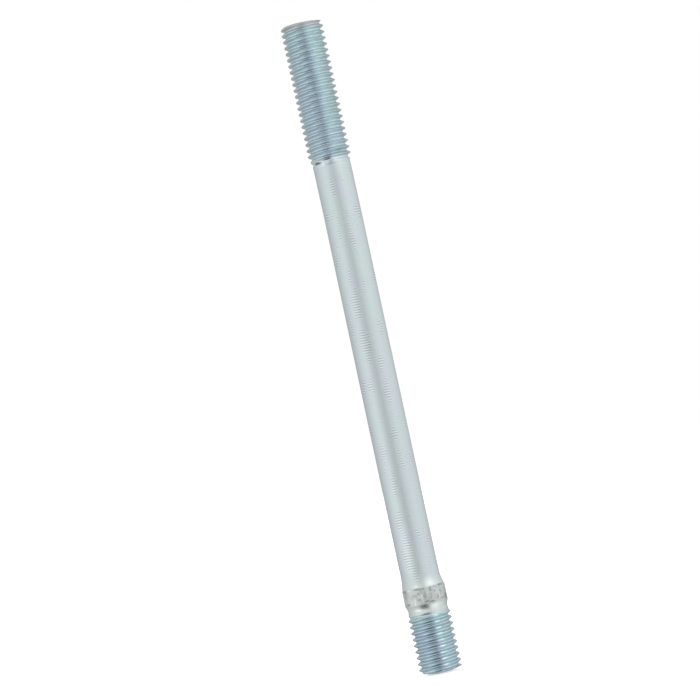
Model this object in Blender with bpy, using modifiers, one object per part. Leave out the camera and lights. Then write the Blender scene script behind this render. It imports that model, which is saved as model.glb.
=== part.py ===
"""A double-ended threaded stud, made from one steel bar and zinc plated.

It stands on its short threaded end. The origin is the centre of that end face and +Z runs
up the axis: short thread, neck, collar, plain shank, long thread. Units are metres.

The stud is modelled in the order of its making. A blank is turned from one profile, and then
a helical groove is cut into each end. At its inner end each groove grows shallow and the
crests sink to the plain bar, which is the thread's run-out.
"""

import math

import bmesh
import bpy

MM = 0.001

# Lengths along the axis, from the short end upwards
OVERALL_LENGTH = 107.1 * MM
SHORT_THREAD_LENGTH = 9.2 * MM
SHORT_RUN_OUT = 0.9 * MM
NECK_LENGTH = 0.6 * MM
LOWER_CONE_LENGTH = 0.65 * MM
COLLAR_LENGTH = 2.8 * MM
UPPER_CONE_LENGTH = 2.1 * MM
LONG_RUN_OUT = 1.9 * MM
LONG_THREAD_LENGTH = 21.8 * MM

# Diameters
THREAD_DIAMETER = 6.9 * MM
NECK_DIAMETER = 6.5 * MM
COLLAR_DIAMETER = 7.0 * MM
SHANK_DIAMETER = 6.18 * MM

# The flat end faces: a plain chamfer leads to the short one, a rounded edge to the long one
SHORT_FACE_DIAMETER = 4.2 * MM
SHORT_CHAMFER_HEIGHT = 0.75 * MM
LONG_FACE_DIAMETER = 5.15 * MM
LONG_ROUND_HEIGHT = 0.8 * MM
LONG_ROUND_POINTS = 3

# The thread form, right-hand, and where each groove crosses the +X side, counted from its end
PITCH = 1.0 * MM
GROOVE_DEPTH = 0.6134 * PITCH
CREST_FLAT = PITCH / 8
HALF_THREAD_ANGLE = math.radians(30)
SHORT_GROOVE_START = 0.08 * PITCH
LONG_GROOVE_START = 0.44 * PITCH

# How far each cutter's mouth widens past the crests, as a share of the flat between two turns
MOUTH_MARGIN = 0.4

# How finely the round form is divided
TURN_STEPS = 36
MERGE_DISTANCE = 0.000001
SHARP_ANGLE = math.radians(20)

# Heights that follow from the lengths
NECK_BOTTOM = SHORT_THREAD_LENGTH + SHORT_RUN_OUT
NECK_TOP = NECK_BOTTOM + NECK_LENGTH
COLLAR_BOTTOM = NECK_TOP + LOWER_CONE_LENGTH
COLLAR_TOP = COLLAR_BOTTOM + COLLAR_LENGTH
SHANK_BOTTOM = COLLAR_TOP + UPPER_CONE_LENGTH
LONG_THREAD_BOTTOM = OVERALL_LENGTH - LONG_THREAD_LENGTH
SHANK_TOP = LONG_THREAD_BOTTOM - LONG_RUN_OUT


def zinc_plated_steel():
    material = bpy.data.materials.new("zinc_plated_steel")
    material.use_nodes = True
    shader = material.node_tree.nodes["Principled BSDF"]
    shader.inputs["Base Color"].default_value = (0.55, 0.63, 0.66, 1.0)
    shader.inputs["Metallic"].default_value = 1.0
    shader.inputs["Roughness"].default_value = 0.38
    return material


def long_end_round():
    """The rounded edge from the long end's face out to the thread, as (radius, z)."""
    face = LONG_FACE_DIAMETER / 2
    reach = THREAD_DIAMETER / 2 - face
    points = []
    for i in range(LONG_ROUND_POINTS + 1):
        angle = math.radians(90) * i / LONG_ROUND_POINTS
        fall = LONG_ROUND_HEIGHT * (1 - math.cos(angle))
        points.append((face + reach * math.sin(angle), OVERALL_LENGTH - fall))
    return points


def blank_outline():
    """The outer side of the turned blank from the top down, as (radius, z)."""
    outline = [(0.0, OVERALL_LENGTH)]
    outline += long_end_round()
    outline.append((THREAD_DIAMETER / 2, LONG_THREAD_BOTTOM))
    outline.append((SHANK_DIAMETER / 2, SHANK_TOP))
    outline.append((SHANK_DIAMETER / 2, SHANK_BOTTOM))
    outline.append((COLLAR_DIAMETER / 2, COLLAR_TOP))
    outline.append((COLLAR_DIAMETER / 2, COLLAR_BOTTOM))
    outline.append((NECK_DIAMETER / 2, NECK_TOP))
    outline.append((NECK_DIAMETER / 2, NECK_BOTTOM))
    outline.append((THREAD_DIAMETER / 2, SHORT_THREAD_LENGTH))
    outline.append((THREAD_DIAMETER / 2, SHORT_CHAMFER_HEIGHT))
    outline.append((SHORT_FACE_DIAMETER / 2, 0.0))
    outline.append((0.0, 0.0))
    return outline


def turned(name, outline):
    """A solid turned about the Z axis from the points of its outer side."""
    builder = bmesh.new()
    points = [builder.verts.new((radius, 0.0, z)) for radius, z in outline]
    for upper, lower in zip(points, points[1:]):
        builder.edges.new((upper, lower))
    mesh = bpy.data.meshes.new(name)
    builder.to_mesh(mesh)
    builder.free()
    solid = bpy.data.objects.new(name, mesh)
    screw = solid.modifiers.new("turn", "SCREW")
    screw.axis = "Z"
    screw.steps = TURN_STEPS
    screw.render_steps = TURN_STEPS
    screw.use_merge_vertices = True
    screw.merge_threshold = MERGE_DISTANCE
    return solid


def groove_floor(z, full, gone, plain_diameter):
    """Radius of the groove's floor at height z.

    It is the thread's root as far as full, and from there it rises in a straight line that
    meets the plain bar at gone.
    """
    root = THREAD_DIAMETER / 2 - GROOVE_DEPTH
    faded = max(0.0, (z - full) / (gone - full))
    return root + (plain_diameter / 2 - root) * faded


def groove_section(floor):
    """The groove's section about its middle, as (radius, height), open past the crests."""
    half_mouth = (PITCH - CREST_FLAT) / 2
    half_floor = half_mouth - GROOVE_DEPTH * math.tan(HALF_THREAD_ANGLE)
    half_outer = half_mouth + MOUTH_MARGIN * CREST_FLAT
    depth = (half_outer - half_floor) / math.tan(HALF_THREAD_ANGLE)
    outer = floor + depth
    return [(floor, half_floor), (floor, -half_floor), (outer, -half_outer), (outer, half_outer)]


def groove_cutter(name, low, high, crossing, full, gone, plain_diameter):
    """A right-hand helical cutter from height low to high.

    crossing is a height at which the groove's middle crosses the +X side. The sections of the
    loft change where the groove runs out, so its faces are made here one turn step at a time.
    """
    builder = bmesh.new()
    step_rise = PITCH / TURN_STEPS
    first = math.floor((low - crossing) / step_rise)
    last = math.ceil((high - crossing) / step_rise)
    rings = []
    for step in range(first, last + 1):
        angle = 2 * math.pi * step / TURN_STEPS
        middle = crossing + step_rise * step
        ring = []
        for radius, height in groove_section(groove_floor(middle, full, gone, plain_diameter)):
            place = (radius * math.cos(angle), radius * math.sin(angle), middle + height)
            ring.append(builder.verts.new(place))
        rings.append(ring)
    for below, above in zip(rings, rings[1:]):
        for i in range(len(below)):
            builder.faces.new((below[i - 1], below[i], above[i], above[i - 1]))
    builder.faces.new(rings[0])
    builder.faces.new(rings[-1])
    bmesh.ops.recalc_face_normals(builder, faces=builder.faces)
    mesh = bpy.data.meshes.new(name)
    builder.to_mesh(mesh)
    builder.free()
    cutter = bpy.data.objects.new(name, mesh)
    cutter.hide_render = True
    cutter.display_type = "WIRE"
    return cutter


def cut(solid, cutter):
    boolean = solid.modifiers.new(cutter.name, "BOOLEAN")
    boolean.operation = "DIFFERENCE"
    boolean.object = cutter


def apply_and_smooth(solid):
    """Makes the modifiers' result the object's own mesh, smooth apart from its sharp edges."""
    graph = bpy.context.evaluated_depsgraph_get()
    profile = solid.data
    solid.data = bpy.data.meshes.new_from_object(solid.evaluated_get(graph))
    solid.data.name = solid.name
    solid.modifiers.clear()
    bpy.data.meshes.remove(profile)
    solid.data.shade_smooth()
    solid.data.set_sharp_from_angle(angle=SHARP_ANGLE)


def main():
    for leftover in list(bpy.data.objects):
        bpy.data.objects.remove(leftover)
    collection = bpy.data.collections.new("threaded_stud")
    cutters = bpy.data.collections.new("cutters")
    bpy.context.scene.collection.children.link(collection)
    bpy.context.scene.collection.children.link(cutters)

    stud = turned("stud", blank_outline())
    collection.objects.link(stud)
    short_groove = groove_cutter(
        "short_groove",
        low=-PITCH,
        high=NECK_BOTTOM + PITCH / 2,
        crossing=SHORT_GROOVE_START,
        full=SHORT_THREAD_LENGTH,
        gone=NECK_BOTTOM,
        plain_diameter=NECK_DIAMETER,
    )
    long_groove = groove_cutter(
        "long_groove",
        low=SHANK_TOP - PITCH / 2,
        high=OVERALL_LENGTH + PITCH,
        crossing=OVERALL_LENGTH - LONG_GROOVE_START,
        full=LONG_THREAD_BOTTOM,
        gone=SHANK_TOP,
        plain_diameter=SHANK_DIAMETER,
    )
    for groove in (short_groove, long_groove):
        cutters.objects.link(groove)
        cut(stud, groove)
    apply_and_smooth(stud)
    stud.data.materials.append(zinc_plated_steel())


main()
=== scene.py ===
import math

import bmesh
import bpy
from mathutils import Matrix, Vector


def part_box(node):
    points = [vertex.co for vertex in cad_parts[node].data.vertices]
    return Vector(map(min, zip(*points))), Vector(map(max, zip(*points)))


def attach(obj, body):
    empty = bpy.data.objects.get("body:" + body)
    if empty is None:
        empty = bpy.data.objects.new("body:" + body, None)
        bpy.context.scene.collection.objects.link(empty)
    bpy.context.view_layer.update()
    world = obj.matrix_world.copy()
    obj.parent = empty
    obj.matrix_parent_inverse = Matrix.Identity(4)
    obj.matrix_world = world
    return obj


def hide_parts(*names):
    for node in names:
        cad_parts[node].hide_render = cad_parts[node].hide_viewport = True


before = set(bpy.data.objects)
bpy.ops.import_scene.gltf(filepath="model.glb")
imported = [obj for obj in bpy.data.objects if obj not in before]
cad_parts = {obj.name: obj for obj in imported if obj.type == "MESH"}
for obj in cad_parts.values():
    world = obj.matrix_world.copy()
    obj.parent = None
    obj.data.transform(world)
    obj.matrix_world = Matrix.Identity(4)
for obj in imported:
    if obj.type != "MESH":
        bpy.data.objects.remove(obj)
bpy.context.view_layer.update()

# %% [markdown]
# # A zinc-plated threaded stud
#
# The object is one turned and rolled steel bar, 107 mm long: a short thread, a neck, a collar, a
# long plain shank and a long thread. Its engineering model has just been loaded as the frame.
# These cells dress it: they set up the photograph's camera and a small studio, give each kind of
# surface its own material, and build the stud once more with finer forms.
#
# Lengths are written in millimetres, as a machinist would, and MM turns them into metres. A
# bearing is an angle round the stud in degrees: 0 faces the camera and 90 is to its right.

# %% Sizes of the frame

MM = 0.001
stud_low, stud_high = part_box("stud")
OVERALL_LENGTH = (stud_high.z - stud_low.z) / MM
print(f"stud: {OVERALL_LENGTH:.1f} mm long")

# %% [markdown]
# ## The camera
#
# The thread is a ruler that the object carries with it. Its pitch is 1 mm and spans 6.2 pixels
# halfway up, and slightly more at the short end, so that end was nearer to the lens. How much the
# turns sag between the two outlines tells the distance: about 560 mm, which asks for a long lens.
# The stud leans 12 degrees to the left in the picture. It stands upright here, so the camera is
# rolled instead. A constraint could aim the camera at the stud, but it would leave no say over
# the roll, so the camera's own three directions are worked out and set.

# %% Camera

IMAGE_PIXELS = 700
SENSOR_WIDTH = 36.0
PIXELS_PER_MM = 6.2013
CAMERA_DISTANCE = 560.0
AIM_HEIGHT = 53.89
AIM_TO_THE_LEFT = 3.415
LOOKS_UP = math.radians(1.85)
ROLL = math.radians(12.247)

forward = Vector((0, math.cos(LOOKS_UP), math.sin(LOOKS_UP)))
level_right = Vector((1, 0, 0))
level_up = level_right.cross(forward)
rolled_right = level_right * math.cos(ROLL) - level_up * math.sin(ROLL)
rolled_up = level_right * math.sin(ROLL) + level_up * math.cos(ROLL)
aim = Vector((-AIM_TO_THE_LEFT, 0, AIM_HEIGHT)) * MM

camera = bpy.data.objects.new("camera", bpy.data.cameras.new("camera"))
bpy.context.scene.collection.objects.link(camera)
camera.data.sensor_width = SENSOR_WIDTH
camera.data.lens = SENSOR_WIDTH * PIXELS_PER_MM * CAMERA_DISTANCE / IMAGE_PIXELS
turned = Matrix((rolled_right, rolled_up, -forward)).transposed().to_4x4()
camera.matrix_world = Matrix.Translation(aim - forward * CAMERA_DISTANCE * MM) @ turned
bpy.context.scene.camera = camera
bpy.context.scene.view_settings.view_transform = "Standard"
print(f"lens {camera.data.lens:.0f} mm, camera {camera.location.z / MM:.0f} mm above the floor")

# %% [markdown]
# ## Building materials from nodes
#
# Every finish below is a small tree of nodes. Each kind of node could have a function of its own,
# but one is enough for all: it adds a node, fills in its settings, and sets or links its sockets.
# The node used most is the map range. Its sockets are a value, the two limits that the value runs
# between, and the two results to give there.
#
# Colours are written as they look on a screen, in sRGB hex, and one function turns them into the
# linear values that the renderer works with. Most finishes are a base colour with further tints
# laid over it in places, and that too is one small function.

# %% A node, a colour and its tints


def linear(hex_colour):
    """A screen colour such as "cbd7da" as linear red, green, blue and alpha."""
    channels = [int(hex_colour[i : i + 2], 16) / 255 for i in (0, 2, 4)]
    return [c / 12.92 if c <= 0.04045 else ((c + 0.055) / 1.055) ** 2.4 for c in channels] + [1.0]


def add(tree, kind, sockets=(), stops=(), **settings):
    """Adds a node. Its sockets are named, or listed in their order. Each value is a number, a
    colour, an output to link, or a node whose first output is linked."""
    node = tree.nodes.new(kind)
    for name, value in settings.items():
        setattr(node, name, value)
    for name, value in sockets.items() if isinstance(sockets, dict) else enumerate(sockets):
        value = value.outputs[0] if isinstance(value, bpy.types.Node) else value
        if isinstance(value, bpy.types.NodeSocket):
            tree.links.new(value, node.inputs[name])
        else:
            node.inputs[name].default_value = value
    for i, (position, colour) in enumerate(stops):
        elements = node.color_ramp.elements
        element = elements[i] if i < 2 else elements.new(position)
        element.position = position
        element.color = colour
    return node


def tinted(tree, colour, layers):
    """Lays tints over a colour one after another, each as strongly as its share says."""
    # Sockets 0, 6 and 7 of a mix of colours are the share and the two colours
    for share, tint in layers:
        mix = add(tree, "ShaderNodeMix", {0: share, 6: colour, 7: linear(tint)}, data_type="RGBA")
        colour = mix.outputs[2]
    return colour


def new_tree(owner):
    """The owner's own node tree, emptied."""
    owner.use_nodes = True
    owner.node_tree.nodes.clear()
    return owner.node_tree


print("the screen grey 808080 is", round(linear("808080")[0], 3), "in linear light")

# %% [markdown]
# ## The studio
#
# Bright plating is a mirror that has gone slightly soft, so what the eye reads as its shading is
# the room around it. Small metal parts are photographed on white paper inside a white tent. A
# ready-made picture of a room could stand in for that, but none of its lights could be moved. So
# the room is built: a white world that the camera sees past the stud, a sheet of paper that two
# soft lamps light and that keeps a faint shadow, and a tent that only reflections see.

# %% World, floor and lamps

FLOOR_WIDTH = 6000.0
LAMP_SIZE = 800.0
LAMP_WATTS = 1.2
LAMP_ASIDE = 900.0
LAMP_IN_FRONT = 700.0
LAMP_HEIGHT = 1000.0

world = bpy.data.worlds.new("white_room")
bpy.context.scene.world = world
tree = new_tree(world)
white = add(tree, "ShaderNodeBackground", {"Color": linear("ffffff"), "Strength": 1.0})
add(tree, "ShaderNodeOutputWorld", {"Surface": white})

bpy.ops.mesh.primitive_grid_add(x_subdivisions=2, y_subdivisions=2, size=FLOOR_WIDTH * MM)
floor = bpy.context.object
floor.name = "floor"

# The paper glows a little by itself, so that it is white all round its faint shadow
paper = bpy.data.materials.new("matt_white_paper")
tree = new_tree(paper)
matt = add(tree, "ShaderNodeBsdfDiffuse", {"Color": linear("e8e8e8")})
glow = add(tree, "ShaderNodeEmission", {"Color": linear("ffffff"), "Strength": 0.5})
both = add(tree, "ShaderNodeAddShader", (matt, glow))
add(tree, "ShaderNodeOutputMaterial", {"Surface": both})
floor.data.materials.append(paper)
floor.visible_glossy = False

for name, side in (("lamp_left", -1), ("lamp_right", 1)):
    lamp = bpy.data.objects.new(name, bpy.data.lights.new(name, "AREA"))
    bpy.context.scene.collection.objects.link(lamp)
    lamp.data.size = LAMP_SIZE * MM
    lamp.data.energy = LAMP_WATTS
    lamp.location = (LAMP_ASIDE * side * MM, -LAMP_IN_FRONT * MM, LAMP_HEIGHT * MM)
    lamp.visible_glossy = False
    lamp.rotation_mode = "QUATERNION"
    lamp.rotation_quaternion = (-lamp.location).to_track_quat("-Z", "Y")
print("floor and two lamps in place")

# %% [markdown]
# ## How bright the tent is
#
# The walls of the tent are bright on both sides, and a dimmer gap is left where the camera looks
# in. That gap is the soft grey streak down the middle of the shank, and the dimmer back of the
# tent darkens its edges. Real panels and lamps could give that, but here the brightness is simply
# written down, round the stud at six levels. The shank shows the level that it stands at. The
# flanks of the threads look up and down, and show the levels above and below.

# %% Brightness of the tent

# Each pair is a bearing and the brightness there
LEVEL_WITH_STUD = (
    (-180, 0.50), (-155, 0.56), (-130, 0.70), (-110, 0.80), (-90, 0.92), (-70, 1.00), (-48, 1.02),
    (-36, 0.92), (-22, 0.84), (-10, 0.76), (0, 0.66), (8, 0.74), (17, 0.84), (28, 0.86),
    (38, 0.86), (48, 0.95), (60, 0.98), (90, 0.96), (110, 0.95), (135, 0.82), (160, 0.60),
)
ABOVE = (
    (-180, 0.60), (-120, 0.80), (-80, 0.96), (-50, 1.08), (-38, 1.15), (-20, 0.94), (-2, 0.78),
    (14, 0.92), (28, 1.22), (50, 1.42), (66, 1.20), (90, 1.10), (120, 0.90), (155, 0.65),
)
HIGH = (
    (-180, 0.40), (-112, 0.80), (-87, 0.86), (-72, 0.94), (-60, 1.00), (-45, 1.00), (-20, 0.94),
    (-2, 0.78), (14, 0.92), (28, 1.22), (50, 1.42), (66, 1.20), (90, 1.10), (120, 0.90),
    (155, 0.55),
)
BELOW = (
    (-180, 0.45), (-120, 0.78), (-90, 0.98), (-66, 1.20), (-48, 1.30), (-36, 1.00), (-20, 0.66),
    (0, 0.50), (10, 0.72), (24, 1.00), (60, 1.05), (100, 0.95), (145, 0.60),
)
TABLE = (
    (-180, 0.45), (-100, 0.72), (-72, 0.84), (-58, 0.80), (-46, 0.50), (-38, 0.22), (-10, 0.14),
    (5, 0.25), (13, 0.70), (24, 1.10), (60, 1.22), (110, 0.95), (150, 0.55),
)
FOOT = (
    (-180, 0.30), (-95, 0.70), (-72, 0.60), (-54, 0.20), (-20, 0.10), (6, 0.10), (18, 0.60),
    (30, 1.20), (52, 1.28), (72, 0.95), (110, 0.75), (150, 0.35),
)

# Where each of the other levels begins and is full, as a share of the tent's radius
HEIGHTS = (
    (ABOVE, 0.0, 0.40),
    (HIGH, 0.45, 0.70),
    (BELOW, 0.0, -0.15),
    (TABLE, -0.35, -0.65),
    (FOOT, -0.70, -0.90),
)
print(f"{1 + len(HEIGHTS)} levels of brightness")

# %% [markdown]
# ## The tent
#
# A studio tent is a cube or a cone of cloth. Here it is a ball, so that every direction finds a
# wall at the same distance, and the ball glows by itself. A radial gradient tells the bearing of
# each point of it, and one colour ramp for each level turns the bearing into a brightness.

# %% The tent's ball and its cloth

TENT_RADIUS = 1500.0

builder = bmesh.new()
bmesh.ops.create_uvsphere(builder, u_segments=64, v_segments=32, radius=TENT_RADIUS * MM)
ball = bpy.data.meshes.new("tent")
builder.to_mesh(ball)
builder.free()
tent = bpy.data.objects.new("tent", ball)
bpy.context.scene.collection.objects.link(tent)
tent.location.z = OVERALL_LENGTH * MM / 2
tent.visible_camera = False
tent.visible_diffuse = False
tent.visible_shadow = False

# A quarter turn brings the middle of the gradient, bearing 0, to the camera's side
tent.rotation_euler.z = math.radians(-90)
cloth = bpy.data.materials.new("white_tent_cloth")
tree = new_tree(cloth)
place = add(tree, "ShaderNodeTexCoord").outputs["Object"]
bearing = add(tree, "ShaderNodeTexGradient", {"Vector": place}, gradient_type="RADIAL")
height = add(tree, "ShaderNodeSeparateXYZ", {"Vector": place})


def wall(levels):
    """The tent's brightness all round, at one level."""
    stops = [((degrees + 180) / 360, (level, level, level, 1)) for degrees, level in levels]
    ramp = add(tree, "ShaderNodeValToRGB", {"Fac": bearing.outputs["Fac"]}, stops=stops)
    return ramp.outputs["Color"]


shade = wall(LEVEL_WITH_STUD)
for levels, begins, full in HEIGHTS:
    limits = (begins * TENT_RADIUS * MM, full * TENT_RADIUS * MM)
    share = add(tree, "ShaderNodeMapRange", (height.outputs["Z"], *limits))
    mix = add(tree, "ShaderNodeMix", {0: share, 6: shade, 7: wall(levels)}, data_type="RGBA")
    shade = mix.outputs[2]
glow = add(tree, "ShaderNodeEmission", {"Color": shade, "Strength": 1.0})
add(tree, "ShaderNodeOutputMaterial", {"Surface": glow})
tent.data.materials.append(cloth)
print(f"tent of {TENT_RADIUS / 1000:.1f} m radius")

# %% [markdown]
# ## Zinc plate and its film
#
# The stud is electroplated with zinc and dipped in a clear blue passivate, a film so thin that
# it tints the metal like oil on water: mostly blue, with greener and more lilac patches. To the
# renderer zinc is a true metal, so the tint goes into its base colour and the IOR stays as it is.
# A picture could carry the patches, but it would need a seam. A noise has none, and its patches
# are given here by their real size.

# %% A metal and its patches


def metal(name):
    """A new metal with its node tree, its shader and its position in millimetres."""
    material = bpy.data.materials.new(name)
    tree = new_tree(material)
    place = add(tree, "ShaderNodeTexCoord").outputs["Object"]
    in_mm = add(tree, "ShaderNodeMapping", {"Vector": place, "Scale": (1 / MM, 1 / MM, 1 / MM)})
    shader = add(tree, "ShaderNodeBsdfPrincipled", {"Metallic": 1.0})
    add(tree, "ShaderNodeOutputMaterial", {"Surface": shader})
    return material, tree, shader, in_mm.outputs[0]


def patches(tree, position, across, along, detail=2.0, distortion=0.0):
    """Noise in patches of one size across the stud and another along it."""
    scale = (1 / across, 1 / across, 1 / along)
    shape = add(tree, "ShaderNodeMapping", {"Vector": position, "Scale": scale})
    sockets = {"Vector": shape, "Scale": 1.0, "Detail": detail, "Distortion": distortion}
    return add(tree, "ShaderNodeTexNoise", sockets).outputs["Fac"]


def film_colour(tree, position, across, along, tints):
    """The film in soft patches, from its greener tint through its middle one to its bluer one."""
    stops = [(share, linear(tint)) for share, tint in zip((0.36, 0.50, 0.64), tints)]
    drift = patches(tree, position, across, along, distortion=0.6)
    return add(tree, "ShaderNodeValToRGB", {"Fac": drift}, stops=stops).outputs["Color"]


# Nearly all of a noise lies between these two values
NOISE_LOW = 0.3
NOISE_HIGH = 0.7


def surface(tree, shader, colour, pattern, roughness, relief, strength, depth):
    """Gives a metal its colour, a roughness that follows a pattern, and a relief of some depth."""
    sockets = (pattern, NOISE_LOW, NOISE_HIGH, *roughness)
    softness = add(tree, "ShaderNodeMapRange", sockets)
    sockets = {"Height": relief, "Strength": strength, "Distance": depth * MM}
    bump = add(tree, "ShaderNodeBump", sockets)
    tree.links.new(colour, shader.inputs["Base Color"])
    tree.links.new(softness.outputs[0], shader.inputs["Roughness"])
    tree.links.new(bump.outputs[0], shader.inputs["Normal"])


print(f"patterns are laid out in millimetres, {1 / MM:.0f} to the metre")

# %% [markdown]
# ## Marks in their places
#
# Some things sit in one place of the stud: a stain, and here also patches of painted shade and
# painted highlights. They could be painted by hand on an unwrapped skin. Here each is a soft blob
# in space,
# which needs no unwrapping: a mapping moves its middle to the origin and scales it to one, so the
# distance from there tells how strong it is. A noise shifts that place a little, which makes the
# edge ragged.

# %% Soft marks

# Size of the raggedness, and how far out a mark has faded, as a share of its half width
EDGE_GRAIN = 1 / 3
MARK_EDGE = 1.15


def marks(tree, position, places, radius, ragged, core=0.6):
    """Marks at given places of the surface that has this radius, each full within its core."""
    sockets = {"Vector": position, "Scale": 1 / EDGE_GRAIN, "Detail": 2.0}
    noise = add(tree, "ShaderNodeTexNoise", sockets).outputs["Color"]
    sockets = (noise, (ragged, ragged, ragged), position)
    shifted = add(tree, "ShaderNodeVectorMath", sockets, operation="MULTIPLY_ADD")
    total = 0.0
    for bearing, height, half_width, half_height, strength in places:
        turn = math.radians(bearing)
        centre = (radius * math.sin(turn), -radius * math.cos(turn), height)
        scale = (1 / half_width, 1 / half_width, 1 / half_height)
        shift = [-(c + ragged / 2) * k for c, k in zip(centre, scale)]
        sockets = {"Vector": shifted, "Scale": scale, "Location": shift}
        local = add(tree, "ShaderNodeMapping", sockets)
        distance = add(tree, "ShaderNodeVectorMath", {0: local}, operation="LENGTH")
        sockets = (distance.outputs["Value"], core, MARK_EDGE, strength, 0.0)
        mark = add(tree, "ShaderNodeMapRange", sockets)
        total = add(tree, "ShaderNodeMath", (mark, total), operation="MAXIMUM")
    return total


print(f"the edges of marks are ragged every {EDGE_GRAIN:.2f} mm")

# %% [markdown]
# ## The end of the rolling
#
# Rolls press the threads into the bar and lift off at the lower end of the long thread. There the
# colour gets patches of painted shade and a few painted glints. Thread and shank meet there, so
# both finishes need the same marks. They are laid over either colour by one function, from one
# list.

# %% Marks at the long run-out

BAR_RADIUS = 3.1

# Each place: bearing, height, half width, half height and strength
# Patches of painted shade
RUN_OUT_PAINTED_SHADE = (
    (-48, 84.25, 1.0, 0.26, 1.0),
    (0, 84.05, 0.45, 0.45, 0.22),
    (32, 85.55, 1.6, 0.8, 0.22),
    (120, 84.3, 0.9, 0.3, 0.7),
)
# A few painted glints
RUN_OUT_PAINTED_GLINTS = (
    (-36, 84.55, 0.8, 0.12, 0.8),
    (-26, 84.05, 0.35, 0.25, 0.8),
    (24, 83.95, 0.9, 0.09, 0.5),
    (27, 83.65, 0.8, 0.09, 0.5),
)


def with_run_out(tree, position, colour):
    """A colour with the painted shade and painted glints of the long run-out laid over it."""
    painted_shade = marks(tree, position, RUN_OUT_PAINTED_SHADE, BAR_RADIUS, ragged=0.2, core=0.3)
    painted_glints = marks(tree, position, RUN_OUT_PAINTED_GLINTS, BAR_RADIUS, ragged=0.1, core=0.3)
    return tinted(tree, colour, ((painted_shade, "4d5c62"), (painted_glints, "f4f8f8")))


print(f"{len(RUN_OUT_PAINTED_SHADE)} dents and {len(RUN_OUT_PAINTED_GLINTS)} streaks at the run-out")

# %% [markdown]
# ## Zinc on the rolled threads
#
# In the V of a thread the light bounces several times before it leaves, and every bounce takes on
# the film's tint once more. So the threads look much darker and bluer than the shank, with the
# same film on them. A darker colour could be painted on, but modelled threads and a true metal
# give that for free. Rolling presses the flanks smooth, so they have no cutting marks, only a
# fine grain.
#
# The bath doesn't coat a thread evenly. In places the film is bluer, greener or paler. Elsewhere
# one side of the turns is painted darker, as painted shade, and the other paler, as painted light.
# Which side a point is on could be painted on the mesh, but the direction that the surface faces
# tells it already.

# %% Places on the threads

# Each place: bearing, height, half width, half height and strength
BLUER = (
    (-30, 5.0, 2.2, 4.0, 0.8),
    (5, 5.0, 0.8, 6.0, 0.8),
    (-24, 94.0, 1.6, 14.0, 0.5),
    (8, 95.0, 0.7, 14.0, 0.8),
    (150, 97.0, 2.5, 6.0, 0.7),
    (200, 4.0, 2.5, 3.0, 0.7),
)
GREENER = (
    (48, 7.4, 1.4, 2.6, 0.8),
    (-40, 9.3, 1.6, 0.6, 0.8),
    (52, 96.0, 2.2, 13.0, 0.5),
    (-75, 98.0, 1.2, 8.0, 0.6),
    (170, 88.0, 2.5, 5.0, 0.7),
)
PALER = (
    (-6, 90.0, 1.3, 9.0, 0.5),
    (34, 94.0, 0.5, 14.0, 0.3),
    (-34, 5.0, 0.5, 6.0, 0.25),
)

# Where the upper flanks get painted shade and the lower ones painted light, and the other way
# round
UPPER_FLANK_SHADED = ((-50, 96.0, 1.5, 16.0, 1.0), (150, 96.0, 1.5, 12.0, 0.6))
LOWER_FLANK_SHADED = ((46, 5.0, 1.0, 6.0, 0.8), (-140, 5.0, 1.0, 6.0, 0.6))

# Where the upper sides of the crests get a painted highlight
CREST_HIGHLIGHTS = ((17, 4.6, 0.6, 6.0, 1.0), (160, 96.0, 1.0, 9.0, 0.6))

# Where the painted shade on the crests and the painted light in the roots are fainter
FAINTER_CREST_PAINT = (
    (-52, 5.0, 1.7, 7.0, 0.45),
    (-50, 96.0, 1.7, 15.0, 0.45),
    (-32, 97.0, 0.8, 14.0, 0.7),
    (-14, 89.0, 1.7, 5.0, 0.6),
    (130, 95.0, 2.0, 9.0, 0.6),
    (-150, 5.0, 2.0, 6.0, 0.6),
)
print(f"the film is bluer in {len(BLUER)} places and greener in {len(GREENER)}")

# %% The film on the threads

FILM_PATCH = 3.5
MID_FLANK = 3.3
LONG_THREAD_BEGINS = (80.0, 82.0)
RUN_OUT_ENDS = (84.2, 85.4)

thread_zinc, tree, shader, position = metal("blue_passivated_zinc_rolled_thread")
film = film_colour(tree, position, FILM_PATCH, FILM_PATCH, ("bbd2d3", "bad0d6", "bbcbd7"))

# The long thread's film is thinner, and its run-out's most of all
height = add(tree, "ShaderNodeSeparateXYZ", {"Vector": position}).outputs["Z"]
on_long = add(tree, "ShaderNodeMapRange", (height, *LONG_THREAD_BEGINS, 0.0, 1.0))
thinner = add(tree, "ShaderNodeMapRange", (height, *RUN_OUT_ENDS, 0.6, 0.3))
thinner = add(tree, "ShaderNodeMath", (thinner, on_long), operation="MULTIPLY")
paler = marks(tree, position, PALER, MID_FLANK, ragged=0.6, core=0.2)
bluer = marks(tree, position, BLUER, MID_FLANK, ragged=1.5, core=0.2)
greener = marks(tree, position, GREENER, MID_FLANK, ragged=1.5, core=0.2)
layers = [(thinner, "cdd9da"), (paler, "d6e0ea"), (bluer, "b8c6d5"), (greener, "bad0cf")]

# The upper flanks face up and the lower ones down, so z tells one from the other
facing = add(tree, "ShaderNodeTexCoord").outputs["Normal"]
facing = add(tree, "ShaderNodeSeparateXYZ", {"Vector": facing}).outputs["Z"]
upper = add(tree, "ShaderNodeMapRange", (facing, 0.2, 0.7, 0.0, 0.5))
lower = add(tree, "ShaderNodeMapRange", (facing, -0.2, -0.7, 0.0, 0.5))
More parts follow.
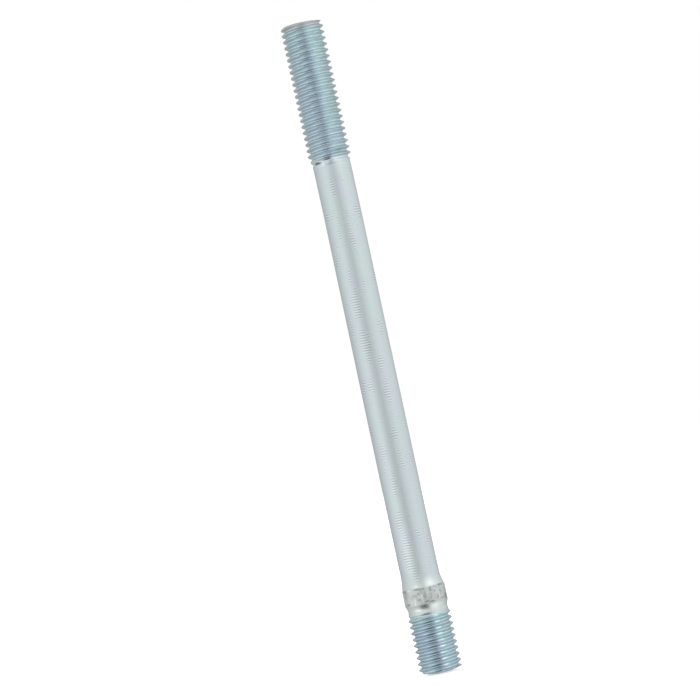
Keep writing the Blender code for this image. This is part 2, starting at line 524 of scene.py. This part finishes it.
# At these places one flank is painted darker, as painted shade, and the other paler, as painted
# light
for places, shaded_flank, lit_flank in ((UPPER_FLANK_SHADED, upper, lower), (LOWER_FLANK_SHADED, lower, upper)):
    there = marks(tree, position, places, MID_FLANK, ragged=0.8, core=0.4)
    for flank, tint in ((shaded_flank, "98acb9"), (lit_flank, "e0ecf1")):
        share = add(tree, "ShaderNodeMath", (flank, there), operation="MULTIPLY")
        layers.append((share, tint))
print(f"the film in patches of {FILM_PATCH} mm, with {len(layers)} tints over it")

# %% [markdown]
# ## Crests and roots
#
# The crests are painted darker, as painted shade, and the roots paler, as painted light. The
# renderer can find edges by how pointed the mesh is, but that changes with the mesh. A thread is
# round, so here the distance from the axis tells crests and roots from the flanks. Their lines
# come and go along each turn, and in places a crest has a painted highlight on its upper side.

# %% Crests and roots

CREST_BEGINS = (3.36, 3.44)
ROOT_ENDS = (3.00, 3.16)
CREST_HIGHLIGHT_RADIUS = 3.4
LINE_LENGTH = 1.25
LINE_HEIGHT = 1 / 3

# Without its height, a point's position is as long as its distance from the axis
flat = add(tree, "ShaderNodeVectorMath", (position, (1, 1, 0)), operation="MULTIPLY")
radius = add(tree, "ShaderNodeVectorMath", {0: flat}, operation="LENGTH").outputs["Value"]
# Crests get painted shade and roots painted light
crest = add(tree, "ShaderNodeMapRange", (radius, *CREST_BEGINS, 0.0, 0.5))
root = add(tree, "ShaderNodeMapRange", (radius, *ROOT_ENDS, 0.4, 0.0))

# The painted lines are uneven, and fainter at the listed places
uneven = patches(tree, position, LINE_LENGTH, LINE_HEIGHT)
uneven = add(tree, "ShaderNodeMapRange", (uneven, 0.35, 0.65, 0.3, 1.3))
faded_paint = marks(tree, position, FAINTER_CREST_PAINT, MID_FLANK, ragged=0.8, core=0.5)
paint_strength = add(tree, "ShaderNodeMapRange", (faded_paint, 0.0, 1.0, 1.0, 0.0))
for share in (uneven, paint_strength):
    crest = add(tree, "ShaderNodeMath", (crest, share), operation="MULTIPLY")
    root = add(tree, "ShaderNodeMath", (root, share), operation="MULTIPLY")

# A crest gets painted shade, and at the listed places a painted highlight on its upper side
upper_side = add(tree, "ShaderNodeMapRange", (facing, -0.7, 0.1, 0.0, 1.0))
highlighted = marks(tree, position, CREST_HIGHLIGHTS, CREST_HIGHLIGHT_RADIUS, ragged=0.3, core=0.4)
highlighted = add(tree, "ShaderNodeMath", (highlighted, upper_side), operation="MULTIPLY")
no_highlight = add(tree, "ShaderNodeMapRange", (highlighted, 0.0, 1.0, 1.0, 0.0))
dull = add(tree, "ShaderNodeMath", (crest, no_highlight), operation="MULTIPLY")
bright = add(tree, "ShaderNodeMath", (crest, highlighted), operation="MULTIPLY")
bright = add(tree, "ShaderNodeMapRange", (bright, 0.0, 0.5, 0.0, 1.0))
# Painted light in the roots, painted shade on the crests and painted highlights on their upper
# sides
layers += [(root, "e0ecf1"), (dull, "8aa1b1"), (bright, "eaf6fb")]
print(f"crests begin at a radius of {CREST_BEGINS[0]} mm, roots end at {ROOT_ENDS[1]} mm")

# %% Zinc-plated rolled thread

# The grain of real plating is far finer. This is just over a pixel wide, so that it shows
GRAIN = 0.22

colour = with_run_out(tree, position, tinted(tree, film, layers))
grain = add(tree, "ShaderNodeTexNoise", {"Vector": position, "Scale": 1 / GRAIN, "Detail": 3.0})
grain = grain.outputs["Fac"]
surface(tree, shader, colour, grain, (0.17, 0.30), relief=grain, strength=0.3, depth=0.02)
print(thread_zinc.name, len(tree.nodes), "nodes")

# %% [markdown]
# ## Zinc on the turned shank
#
# The shank was turned before plating. The tool leaves a fine spiral, here 0.42 mm from ring to
# ring, and the plating follows it, so light spreads more along the stud than round it. That
# spread is the shader's anisotropy, with its tangent wound round the axis. The rings don't show
# everywhere: they come in patches, as the tool's pressure and the polish vary. So a wave makes
# the rings, as a relief and as painted shade and painted highlight along them, and a noise and a
# list of places say where they are seen.
#
# The same finish covers the neck and both cones of the collar, which carry painted highlights in
# places, the shallowest turns of both run-outs, and the flat face and rounded edge of the long
# end.

# %% Places on the shank

# Each place: bearing, height, half width, half height and strength
# Painted highlights on the neck, the cones and the shank
SHANK_HIGHLIGHTS = (
    (18, 14.85, 1.0, 0.8, 0.36),
    (-19, 14.5, 0.35, 0.22, 0.8),
    (-24, 14.5, 0.8, 0.14, 0.5),
    (20, 10.75, 1.0, 0.7, 0.5),
    (-17, 20.5, 1.0, 4.5, 0.22),
    (-28, 10.7, 0.8, 0.45, 0.6),
    (-6, 10.45, 0.8, 0.30, 0.6),
    (140, 15.0, 0.8, 0.5, 0.8),
)

# Where the rings show most
RINGED = (
    (-17, 50.0, 0.55, 40.0, 1.0),
    (17, 55.0, 0.5, 30.0, 1.0),
    (-23, 21.0, 1.0, 7.0, 2.2),
    (-17, 17.4, 0.7, 2.2, 2.2),
    (-20, 31.0, 0.7, 4.5, 1.8),
    (-12, 79.0, 0.45, 2.8, 2.2),
    (-18, 73.3, 0.5, 2.6, 2.2),
    (15, 73.5, 0.4, 2.6, 1.8),
    (22, 80.5, 0.4, 1.4, 1.8),
    (-22, 58.0, 0.6, 5.0, 1.8),
    (24, 46.0, 0.5, 5.0, 1.8),
    (110, 50.0, 0.8, 36.0, 1.0),
    (-150, 40.0, 0.8, 30.0, 1.0),
)
print(f"{len(SHANK_HIGHLIGHTS)} rubbed places, and {len(RINGED)} where rings are likely")

# %% Turning rings

FEED = 0.42
RING_PATCH = (1.4, 3.5)
CONE_ENDS = (15.0, 15.6)

# At a scale of 1 Blender's bands are this far apart
BAND_SPACING = 2 * math.pi / 20

shank_zinc, tree, shader, position = metal("zinc_plated_turned_steel")
height = add(tree, "ShaderNodeSeparateXYZ", {"Vector": position}).outputs["Z"]
on_shank = add(tree, "ShaderNodeMapRange", (height, *CONE_ENDS, 0.0, 1.0))
wave = add(
    tree,
    "ShaderNodeTexWave",
    {"Vector": position, "Scale": BAND_SPACING / FEED, "Distortion": 0.5},
    wave_type="BANDS",
    bands_direction="Z",
    wave_profile="SIN",
)

# A noise makes the patches, and at the listed places they are more likely
patch = patches(tree, position, *RING_PATCH)
ringed = marks(tree, position, RINGED, BAR_RADIUS, ragged=0.3, core=0.5)
likely = add(tree, "ShaderNodeMapRange", (ringed, 0.0, 3.0, -0.05, 0.22))
likely = add(tree, "ShaderNodeMath", (patch, likely))
seen = add(tree, "ShaderNodeMapRange", (likely, 0.54, 0.60, 0.0, 1.0))
seen = add(tree, "ShaderNodeMath", (seen, on_shank), operation="MULTIPLY")
ridge = add(tree, "ShaderNodeMath", (wave.outputs["Fac"], seen), operation="MULTIPLY")

# Where rings are seen, their ridges get painted shade and the valleys between them a painted
# highlight
valley = add(tree, "ShaderNodeMath", (seen, ridge), operation="SUBTRACT")
light = add(tree, "ShaderNodeMapRange", (valley, 0.4, 1.0, 0.0, 0.45))
dark = add(tree, "ShaderNodeMapRange", (ridge, 0.4, 1.0, 0.0, 0.45))
print(f"rings {FEED} mm apart, in patches of {RING_PATCH[0]} by {RING_PATCH[1]} mm")

# %% Zinc-plated turned shank

SHANK_PATCH = (2.4, 6.24)
LONG_FACE_BEGINS = (106.0, 106.3)
CONE_RADIUS = 3.3

film = film_colour(tree, position, *SHANK_PATCH, ("cad8d7", "ccd7da", "cdd5dc"))
long_face = add(tree, "ShaderNodeMapRange", (height, *LONG_FACE_BEGINS, 0.0, 1.0))
film = tinted(tree, film, [(long_face, "d0d2d3")])

# The neck and the cones have one plain tint, and the film's patches begin on the shank
sockets = {0: on_shank, 6: linear("cfd8d6"), 7: film}
base = add(tree, "ShaderNodeMix", sockets, data_type="RGBA").outputs[2]
highlighted = marks(tree, position, SHANK_HIGHLIGHTS, CONE_RADIUS, ragged=0.3, core=0.0)
colour = tinted(tree, base, [(light, "f4f8f8"), (dark, "808c8e"), (highlighted, "f8fbfa")])
colour = with_run_out(tree, position, colour)
grain = add(tree, "ShaderNodeTexNoise", {"Vector": position, "Scale": 1 / GRAIN, "Detail": 3.0})
grain = grain.outputs["Fac"]
surface(tree, shader, colour, grain, (0.24, 0.34), relief=ridge, strength=0.6, depth=0.012)
shader.inputs["Anisotropic"].default_value = 0.5
around = add(tree, "ShaderNodeTangent", direction_type="RADIAL", axis="Z")
tree.links.new(around.outputs[0], shader.inputs["Tangent"])
print(shank_zinc.name, len(tree.nodes), "nodes")

# %% [markdown]
# ## Zinc on the collar
#
# The collar is as forged: nothing has smoothed it, so its plating is duller and mottled, with
# small dark pits and smudges that run along the stud. Two noises do for the mottling, one with
# wide blotches and one with pits. The larger stains that the photograph shows are marks in their
# places, and so are two broad patches of painted shade and small painted highlights in narrow
# streaks.

# %% Places on the collar

COLLAR_RADIUS = 3.5

# Each place: bearing, height, half width, half height and strength
# Mostly stains, and the last two are broad painted shade over the front of the band
STAINS_AND_SHADE = (
    (-16, 14.00, 1.0, 0.16, 0.6),
    (-1, 14.00, 0.16, 0.16, 0.9),
    (17, 13.90, 0.45, 0.35, 0.45),
    (16, 13.56, 0.28, 0.19, 0.85),
    (28, 13.30, 0.22, 0.28, 0.6),
    (34, 13.90, 0.15, 0.2, 0.5),
    (50, 14.10, 0.8, 0.22, 0.75),
    (-17, 13.30, 0.22, 0.26, 0.7),
    (-23, 13.10, 0.13, 0.2, 0.5),
    (-10, 13.40, 0.1, 0.2, 0.5),
    (-17, 12.35, 0.28, 0.19, 0.7),
    (-3, 12.75, 0.08, 0.26, 0.6),
    (0, 13.00, 0.2, 0.8, 0.35),
    (15, 12.60, 0.18, 0.8, 0.4),
    (35, 12.30, 0.14, 0.55, 0.75),
    (50, 11.90, 0.5, 0.25, 0.45),
    (68, 12.10, 0.7, 0.6, 0.5),
    (3, 11.90, 0.5, 0.15, 0.7),
    (16, 11.75, 0.6, 0.15, 0.8),
    (25, 11.62, 0.3, 0.1, 0.5),
    (-56, 11.80, 0.6, 0.22, 0.65),
    (-62, 14.00, 0.6, 0.4, 0.5),
    (110, 12.40, 0.5, 0.6, 0.6),
    (150, 13.20, 0.7, 0.3, 0.6),
    (-130, 12.10, 0.5, 0.8, 0.6),
    (-165, 12.90, 0.4, 0.4, 0.7),
    (23, 12.80, 1.35, 1.2, 0.18),
    (-22, 12.80, 0.6, 1.2, 0.10),
)
# Painted highlights in narrow streaks on the band
COLLAR_HIGHLIGHTS = (
    (-9, 12.70, 0.18, 0.5, 0.7),
    (-8, 12.00, 0.15, 0.3, 0.6),
    (6, 12.80, 0.16, 0.8, 0.4),
    (-31, 12.20, 0.3, 0.8, 0.5),
    (-44, 14.00, 0.4, 0.12, 0.7),
    (22, 12.80, 0.15, 0.5, 0.35),
    (41, 12.60, 0.14, 0.6, 0.5),
    (120, 13.10, 0.3, 0.6, 0.5),
    (-150, 12.50, 0.3, 0.8, 0.5),
)
print(f"{len(STAINS_AND_SHADE)} stains and {len(COLLAR_HIGHLIGHTS)} polished spots on the collar")

# %% Mottled zinc on the collar

BLOTCH = (0.9, 2.0)
PIT = 0.35
PIT_SHARE = 0.35

collar_zinc, tree, shader, position = metal("dull_zinc_on_forged_collar")
blotches = patches(tree, position, *BLOTCH, detail=3.0)
pits = add(tree, "ShaderNodeTexNoise", {"Vector": position, "Scale": 1 / PIT, "Detail": 2.0})
sockets = {"Factor": PIT_SHARE, "A": blotches, "B": pits.outputs["Fac"]}
mottle = add(tree, "ShaderNodeMix", sockets, data_type="FLOAT")
stops = [(0.36, linear("a9b0aa")), (0.46, linear("c4cac8")), (0.62, linear("d3d9da"))]
base = add(tree, "ShaderNodeValToRGB", {"Fac": mottle}, stops=stops).outputs["Color"]
highlit = marks(tree, position, COLLAR_HIGHLIGHTS, COLLAR_RADIUS, ragged=0.10)
stain_and_shade = marks(tree, position, STAINS_AND_SHADE, COLLAR_RADIUS, ragged=0.12, core=0.3)
colour = tinted(tree, base, [(highlit, "eef2f2"), (stain_and_shade, "737a70")])
surface(tree, shader, colour, mottle, (0.50, 0.34), relief=mottle, strength=0.4, depth=0.06)
print(collar_zinc.name, len(tree.nodes), "nodes")

# %% [markdown]
# ## The form of the threads
#
# A rolled metric thread is a 60 degree V with rounded crests and roots. A profile could be wound
# up with the Screw modifier, but that gives turns that are all alike, right to the ends. Here one
# function of the distance from a crest gives the depth, and the skin is built from it later.

# %% Thread form

PITCH = 1.0
ROOT_ARC = 0.144
FLANK_SLOPE = math.tan(math.radians(60))
REACH = math.cos(math.radians(30))


def full_depth(crest_arc):
    """Depth of the thread whose crests are rounded by this radius."""
    flank = 0.5 - (crest_arc + ROOT_ARC) * REACH
    return (crest_arc + ROOT_ARC) / 2 + FLANK_SLOPE * flank


def thread_depth(offset, crest_arc):
    """Depth below the crest, at an offset along the axis from the middle of a crest."""
    from_root = 0.5 - offset
    if offset <= crest_arc * REACH:
        return crest_arc - math.sqrt(crest_arc**2 - offset**2)
    if from_root <= ROOT_ARC * REACH:
        return full_depth(crest_arc) - ROOT_ARC + math.sqrt(ROOT_ARC**2 - from_root**2)
    return crest_arc / 2 + FLANK_SLOPE * (offset - crest_arc * REACH)


def between(z, stations):
    """The value at z on the straight lines through (z, value) stations that rise in z."""
    if z <= stations[0][0]:
        return stations[0][1]
    for (z0, a), (z1, b) in zip(stations, stations[1:]):
        if z <= z1:
            return a + (b - a) * (z - z0) / (z1 - z0)
    return stations[-1][1]


SHORT_ARC = 0.20
LONG_ARC = 0.15
print(f"threads {full_depth(SHORT_ARC):.2f} and {full_depth(LONG_ARC):.2f} mm deep")

# %% [markdown]
# ## Where the threads run out
#
# At the inner end of each thread the rolls press less and less deep: the root rises and the crest
# sinks until both meet the plain bar. So crest and root each get a radius at a few heights, with
# straight lines between. The shank isn't perfect either. It tapers by an eighth of a millimetre
# and is bent by less than a tenth, which shows once the photograph is measured.

# %% Radii along the stud

SHANK_RADIUS = 3.125
NECK_RADIUS = 3.25
NECK_FOOT = NECK_RADIUS + 0.04
SHORT_CREST = 3.50
SHORT_ROOT = SHORT_CREST - full_depth(SHORT_ARC)
LONG_CREST = 3.47
LONG_ROOT = LONG_CREST - full_depth(LONG_ARC)
SHORT_CRESTS = ((9.0, SHORT_CREST), (9.5, 3.45), (10.1, NECK_FOOT))
SHORT_ROOTS = ((9.0, SHORT_ROOT), (10.1, NECK_FOOT))
LONG_CRESTS = ((83.4, 3.06), (84.0, 3.10), (84.7, 3.20), (85.15, LONG_CREST))
LONG_ROOTS = ((83.4, 3.06), (83.85, 3.04), (84.15, 2.94), (84.6, 2.91), (85.0, LONG_ROOT))

# The shank by height: its radius, and how far its middle is off the threads' axis
SHANK_RADII = ((17.5, SHANK_RADIUS), (50.0, 3.10), (83.4, 3.06))
SHANK_BEND = ((14.2, 0.0), (17.5, -0.07), (40.0, -0.03), (75.0, 0.08), (83.0, 0.06), (85.0, 0.0))
print(f"roots {SHORT_ROOT:.2f} and {LONG_ROOT:.2f} mm, crests {SHORT_CREST} and {LONG_CREST} mm")

# %% [markdown]
# ## The two ends
#
# The bar was cut off and chamfered before it was rolled. The short end is a shallow dome. The
# long end has a flat face inside a rounded edge, which is less high on one side. The ends could
# be cut with a Boolean, but here a thread is simply never wider than its end allows, which keeps
# the mesh clean.

# %% Radii at the ends

DOME_RADIUS = 10.5
DOME_REACHES = 1.0
FACE_RADIUS = 2.575
ROUND_HEIGHT = 0.8

# The long end's edge is less high by this share on one side, and this is where, in turns from +X
SHARPER_SIDE = 0.65
SHARPEST_TURN = -0.08


def dome_fall(radius):
    """Height of the short end's dome at a radius."""
    return DOME_RADIUS - math.sqrt(DOME_RADIUS**2 - radius**2)


def round_fall(radius):
    """Depth of the long end's rounded edge below its face at a radius."""
    share = max(0.0, radius - FACE_RADIUS) / (LONG_CREST - FACE_RADIUS)
    return ROUND_HEIGHT * (1 - math.sqrt(max(0.0, 1 - share**2)))


def end_radius(z, turn):
    """The largest radius that the two ends leave at height z and a share of a turn from +X."""
    if z < DOME_REACHES:
        return math.sqrt(max(0.0, DOME_RADIUS**2 - (DOME_RADIUS - z) ** 2))
    sharper = (1 + math.cos(2 * math.pi * (turn - SHARPEST_TURN))) / 2
    height = ROUND_HEIGHT * (1 - SHARPER_SIDE * sharper)
    fall = max(0.0, 1 - (OVERALL_LENGTH - z) / height)
    return FACE_RADIUS + (SHORT_CREST - FACE_RADIUS) * math.sqrt(1 - fall**2)


def thread_radius(z, offset, turn, crests, roots, crest_arc):
    """Radius of a thread at height z, at an offset from the middle of the nearest crest."""
    crest = between(z, crests)
    root = between(z, roots)
    share = thread_depth(offset, crest_arc) / full_depth(crest_arc)
    return min(crest - (crest - root) * share, end_radius(z, turn))


print(f"dome {dome_fall(SHORT_ROOT):.2f} mm high at the root, face {2 * FACE_RADIUS} mm across")

# %% [markdown]
# ## Building the skin
#
# The whole bar is one closed skin. Its round parts are stacks of rings with faces between them.
# Each point carries the shank's bend, and each face one of the three finishes.

# %% Points, rings and caps

COLUMNS = 96
THREAD, SHANK, COLLAR = range(3)
skin = bmesh.new()


def point(radius, turn, z):
    """A point of the skin; turn is a share of a full turn from +X."""
    angle = 2 * math.pi * turn
    x = radius * math.cos(angle) + between(z, SHANK_BEND)
    return skin.verts.new((x * MM, radius * MM * math.sin(angle), z * MM))


def ring(radius, z, lean=0.0):
    """A ring of points. It is higher by lean on the +X side, and lower on the other."""
    made = []
    for i in range(COLUMNS):
        turn = i / COLUMNS
        made.append(point(radius, turn, z + lean * math.cos(2 * math.pi * turn)))
    return made


def bridge(below, above, finish):
    """Faces between two rings."""
    for i in range(COLUMNS):
        corners = (below[i - 1], below[i], above[i], above[i - 1])
        skin.faces.new(corners).material_index = finish


def cap(outer, z, upwards, finish):
    """Closes an end inside its smallest ring."""
    middle = skin.verts.new((0, 0, z * MM))
    for i in range(COLUMNS):
        corners = (outer[i - 1], outer[i], middle)
        corners = corners if upwards else tuple(reversed(corners))
        skin.faces.new(corners).material_index = finish


print(f"{COLUMNS} points to a ring, {math.pi * SHORT_CREST * 2 / COLUMNS:.2f} mm apart at a crest")

# %% [markdown]
# ## Helical rows
#
# The threads need rows that climb with the helix, so that an edge lies on every crest and every
# root. Each column of points starts a little higher than the one before it, and after one turn it
# has climbed exactly one pitch, where it joins the first column one turn up. Rows that would
# leave the thread's ends stop at a plain ring, which the next round part shares.

# %% Thread between two rings

# A row that comes this close to an end ring joins it
SNAP = 0.005

# Where the rolled finish ends on each thread, and how high the long end's duller edge is
SHORT_ROLLED_TO = 9.9
LONG_ROLLED_FROM = 84.15
DULL_EDGE = 0.8

# Heights of the rows above a crest, in pitches: closest together where crest and root are round
HALF_PITCH_ROWS = (0.0, 0.04, 0.075, 0.105, 0.13, 0.1732, 0.27, 0.3753, 0.42, 0.46)
ROWS = HALF_PITCH_ROWS + (0.5,) + tuple(1 - x for x in reversed(HALF_PITCH_ROWS[1:]))


def finish_at(z):
    """The threads' finish, and the shank's at the run-outs and on the edge of the long end."""
    long_rolled_to = OVERALL_LENGTH - DULL_EDGE
    rolled = z < SHORT_ROLLED_TO or LONG_ROLLED_FROM < z < long_rolled_to
    return THREAD if rolled else SHANK


def helical_rows(below, above, low, high, crest, radius_at):
    """Thread between two rings; crest is a height at which a crest crosses the +X side."""
    rows = len(ROWS)
    first = (math.floor((low - crest) / PITCH) - 1) * rows
    last = (math.ceil((high - crest) / PITCH) + 1) * rows
    made = {}

    def corner(column, row):
        column, row = (0, row + rows) if column == COLUMNS else (column, row)
        turn = column / COLUMNS
        share = ROWS[row % rows]
        z = crest + PITCH * (turn + row // rows + share)
        if z < low + SNAP:
            return below[column]
        if z > high - SNAP:
            return above[column]
        if (column, row) not in made:
            offset = min(share, 1 - share)
            made[column, row] = point(radius_at(z, offset, turn), turn, z)
        return made[column, row]

    for column in range(COLUMNS):
        for row in range(first, last):
            corners = (
                corner(column, row),
                corner(column + 1, row),
                corner(column + 1, row + 1),
                corner(column, row + 1),
            )
            corners = tuple(dict.fromkeys(corners))
            if len(corners) > 2:
                middle = sum(corner.co.z for corner in corners) / len(corners) / MM
                skin.faces.new(corners).material_index = finish_at(middle)
    return len(made)


print(f"{len(ROWS)} rows to a pitch")

# %% [markdown]
# ## From the short end to the collar
#
# The skin is built in the order in which it stands on the floor. It begins with the dome, whose
# last ring lies at the root of the first turn, and the short thread, which runs out at the neck.

# %% Short end and short thread

SHORT_CREST_AT = 0.58
NECK_BOTTOM = 10.1
SMALLEST_RING = 0.4
END_STEPS = 5


def end_rings(inner_radius, outer_radius, height_at):
    """Rings of an end, out to the thread's root."""
    made = []
    for i in range(END_STEPS + 1):
        radius = inner_radius + (outer_radius - inner_radius) * i / END_STEPS
        made.append(ring(radius, height_at(radius)))
    return made


bottom = end_rings(SMALLEST_RING, SHORT_ROOT, dome_fall)
cap(bottom[0], 0.0, False, THREAD)
for lower, upper in zip(bottom, bottom[1:]):
    bridge(lower, upper, THREAD)

neck_bottom = ring(NECK_FOOT, NECK_BOTTOM)
short_points = helical_rows(
    bottom[-1],
    neck_bottom,
    dome_fall(SHORT_ROOT),
    NECK_BOTTOM,
    SHORT_CREST_AT,
    lambda *place: thread_radius(*place, SHORT_CRESTS, SHORT_ROOTS, SHORT_ARC),
)
print(f"{short_points} points on the short thread")

# %% [markdown]
# ## Neck, collar and shank
#
# These are rings at measured heights. The collar's upper cone is not quite square to the axis: it
# is long and flat on one side and short and steep on the other, as a forged collar's often is. So
# a ring can lean. Its edges are soft because two or three rings share each of them.

# %% Neck, collar and shank

SHANK_TOP = 83.4
SHANK_STEPS = 32

# Each ring: radius, height, lean, and the finish of the faces below it
COLLAR_RINGS = (
    (NECK_RADIUS - 0.03, 10.45, 0.0, SHANK),
    (NECK_RADIUS - 0.03, 10.72, 0.0, SHANK),
    (NECK_RADIUS + 0.03, 10.92, 0.0, SHANK),
    (COLLAR_RADIUS - 0.07, 11.36, 0.0, SHANK),
    (COLLAR_RADIUS - 0.02, 11.45, 0.0, COLLAR),
    (COLLAR_RADIUS, 11.55, 0.0, COLLAR),
    (COLLAR_RADIUS, 12.8, 0.02, COLLAR),
    (COLLAR_RADIUS, 14.02, 0.05, COLLAR),
    (COLLAR_RADIUS - 0.02, 14.12, 0.06, COLLAR),
    (COLLAR_RADIUS - 0.08, 14.22, 0.06, COLLAR),
    (SHANK_RADIUS + 0.10, 15.2, -0.2, SHANK),
    (SHANK_RADIUS + 0.02, 16.0, -0.5, SHANK),
    (SHANK_RADIUS, 16.4, -0.6, SHANK),
    (SHANK_RADIUS, 17.5, -0.2, SHANK),
)
below = neck_bottom
for radius, z, lean, finish in COLLAR_RINGS:
    above = ring(radius, z, lean)
    bridge(below, above, finish)
    below = above
shank_from = COLLAR_RINGS[-1][1]
for i in range(1, SHANK_STEPS + 1):
    z = shank_from + (SHANK_TOP - shank_from) * i / SHANK_STEPS
    above = ring(between(z, SHANK_RADII), z)
    bridge(below, above, SHANK)
    below = above
print(f"shank from {shank_from} to {SHANK_TOP} mm above the floor")

# %% [markdown]
# ## Long thread and long end
#
# The long thread starts at the shank's last ring, and its first turns are still shallow. Its far
# end is closed like the short one, with rings from the root in to the flat face.

# %% Long thread and long end

LONG_CREST_AT = 83.18

top = end_rings(FACE_RADIUS, LONG_ROOT, lambda radius: OVERALL_LENGTH - round_fall(radius))
long_points = helical_rows(
    below,
    top[-1],
    SHANK_TOP,
    OVERALL_LENGTH - round_fall(LONG_ROOT),
    LONG_CREST_AT,
    lambda *place: thread_radius(*place, LONG_CRESTS, LONG_ROOTS, LONG_ARC),
)
for upper, lower in zip(top, top[1:]):
    bridge(lower, upper, SHANK)
cap(top[0], OVERALL_LENGTH, True, SHANK)
print(f"{long_points} points on the long thread, {len(skin.faces)} faces in all")

# %% [markdown]
# ## The finished piece
#
# The skin becomes one object, which rides on the stud's body and takes the place of its plain
# solid. Smooth shading hides the facets, and only edges sharper than 50 degrees stay hard.

# %% The finished piece

SHARP_EDGE = math.radians(50)

mesh = bpy.data.meshes.new("zinc_plated_stud")
skin.to_mesh(mesh)
skin.free()
stud = bpy.data.objects.new("zinc_plated_stud", mesh)
bpy.context.scene.collection.objects.link(stud)
for finish in (thread_zinc, shank_zinc, collar_zinc):
    mesh.materials.append(finish)
mesh.shade_smooth()
mesh.set_sharp_from_angle(angle=SHARP_EDGE)
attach(stud, "root")
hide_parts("stud")
print(f"{sum(len(p.vertices) - 2 for p in mesh.polygons)} triangles")
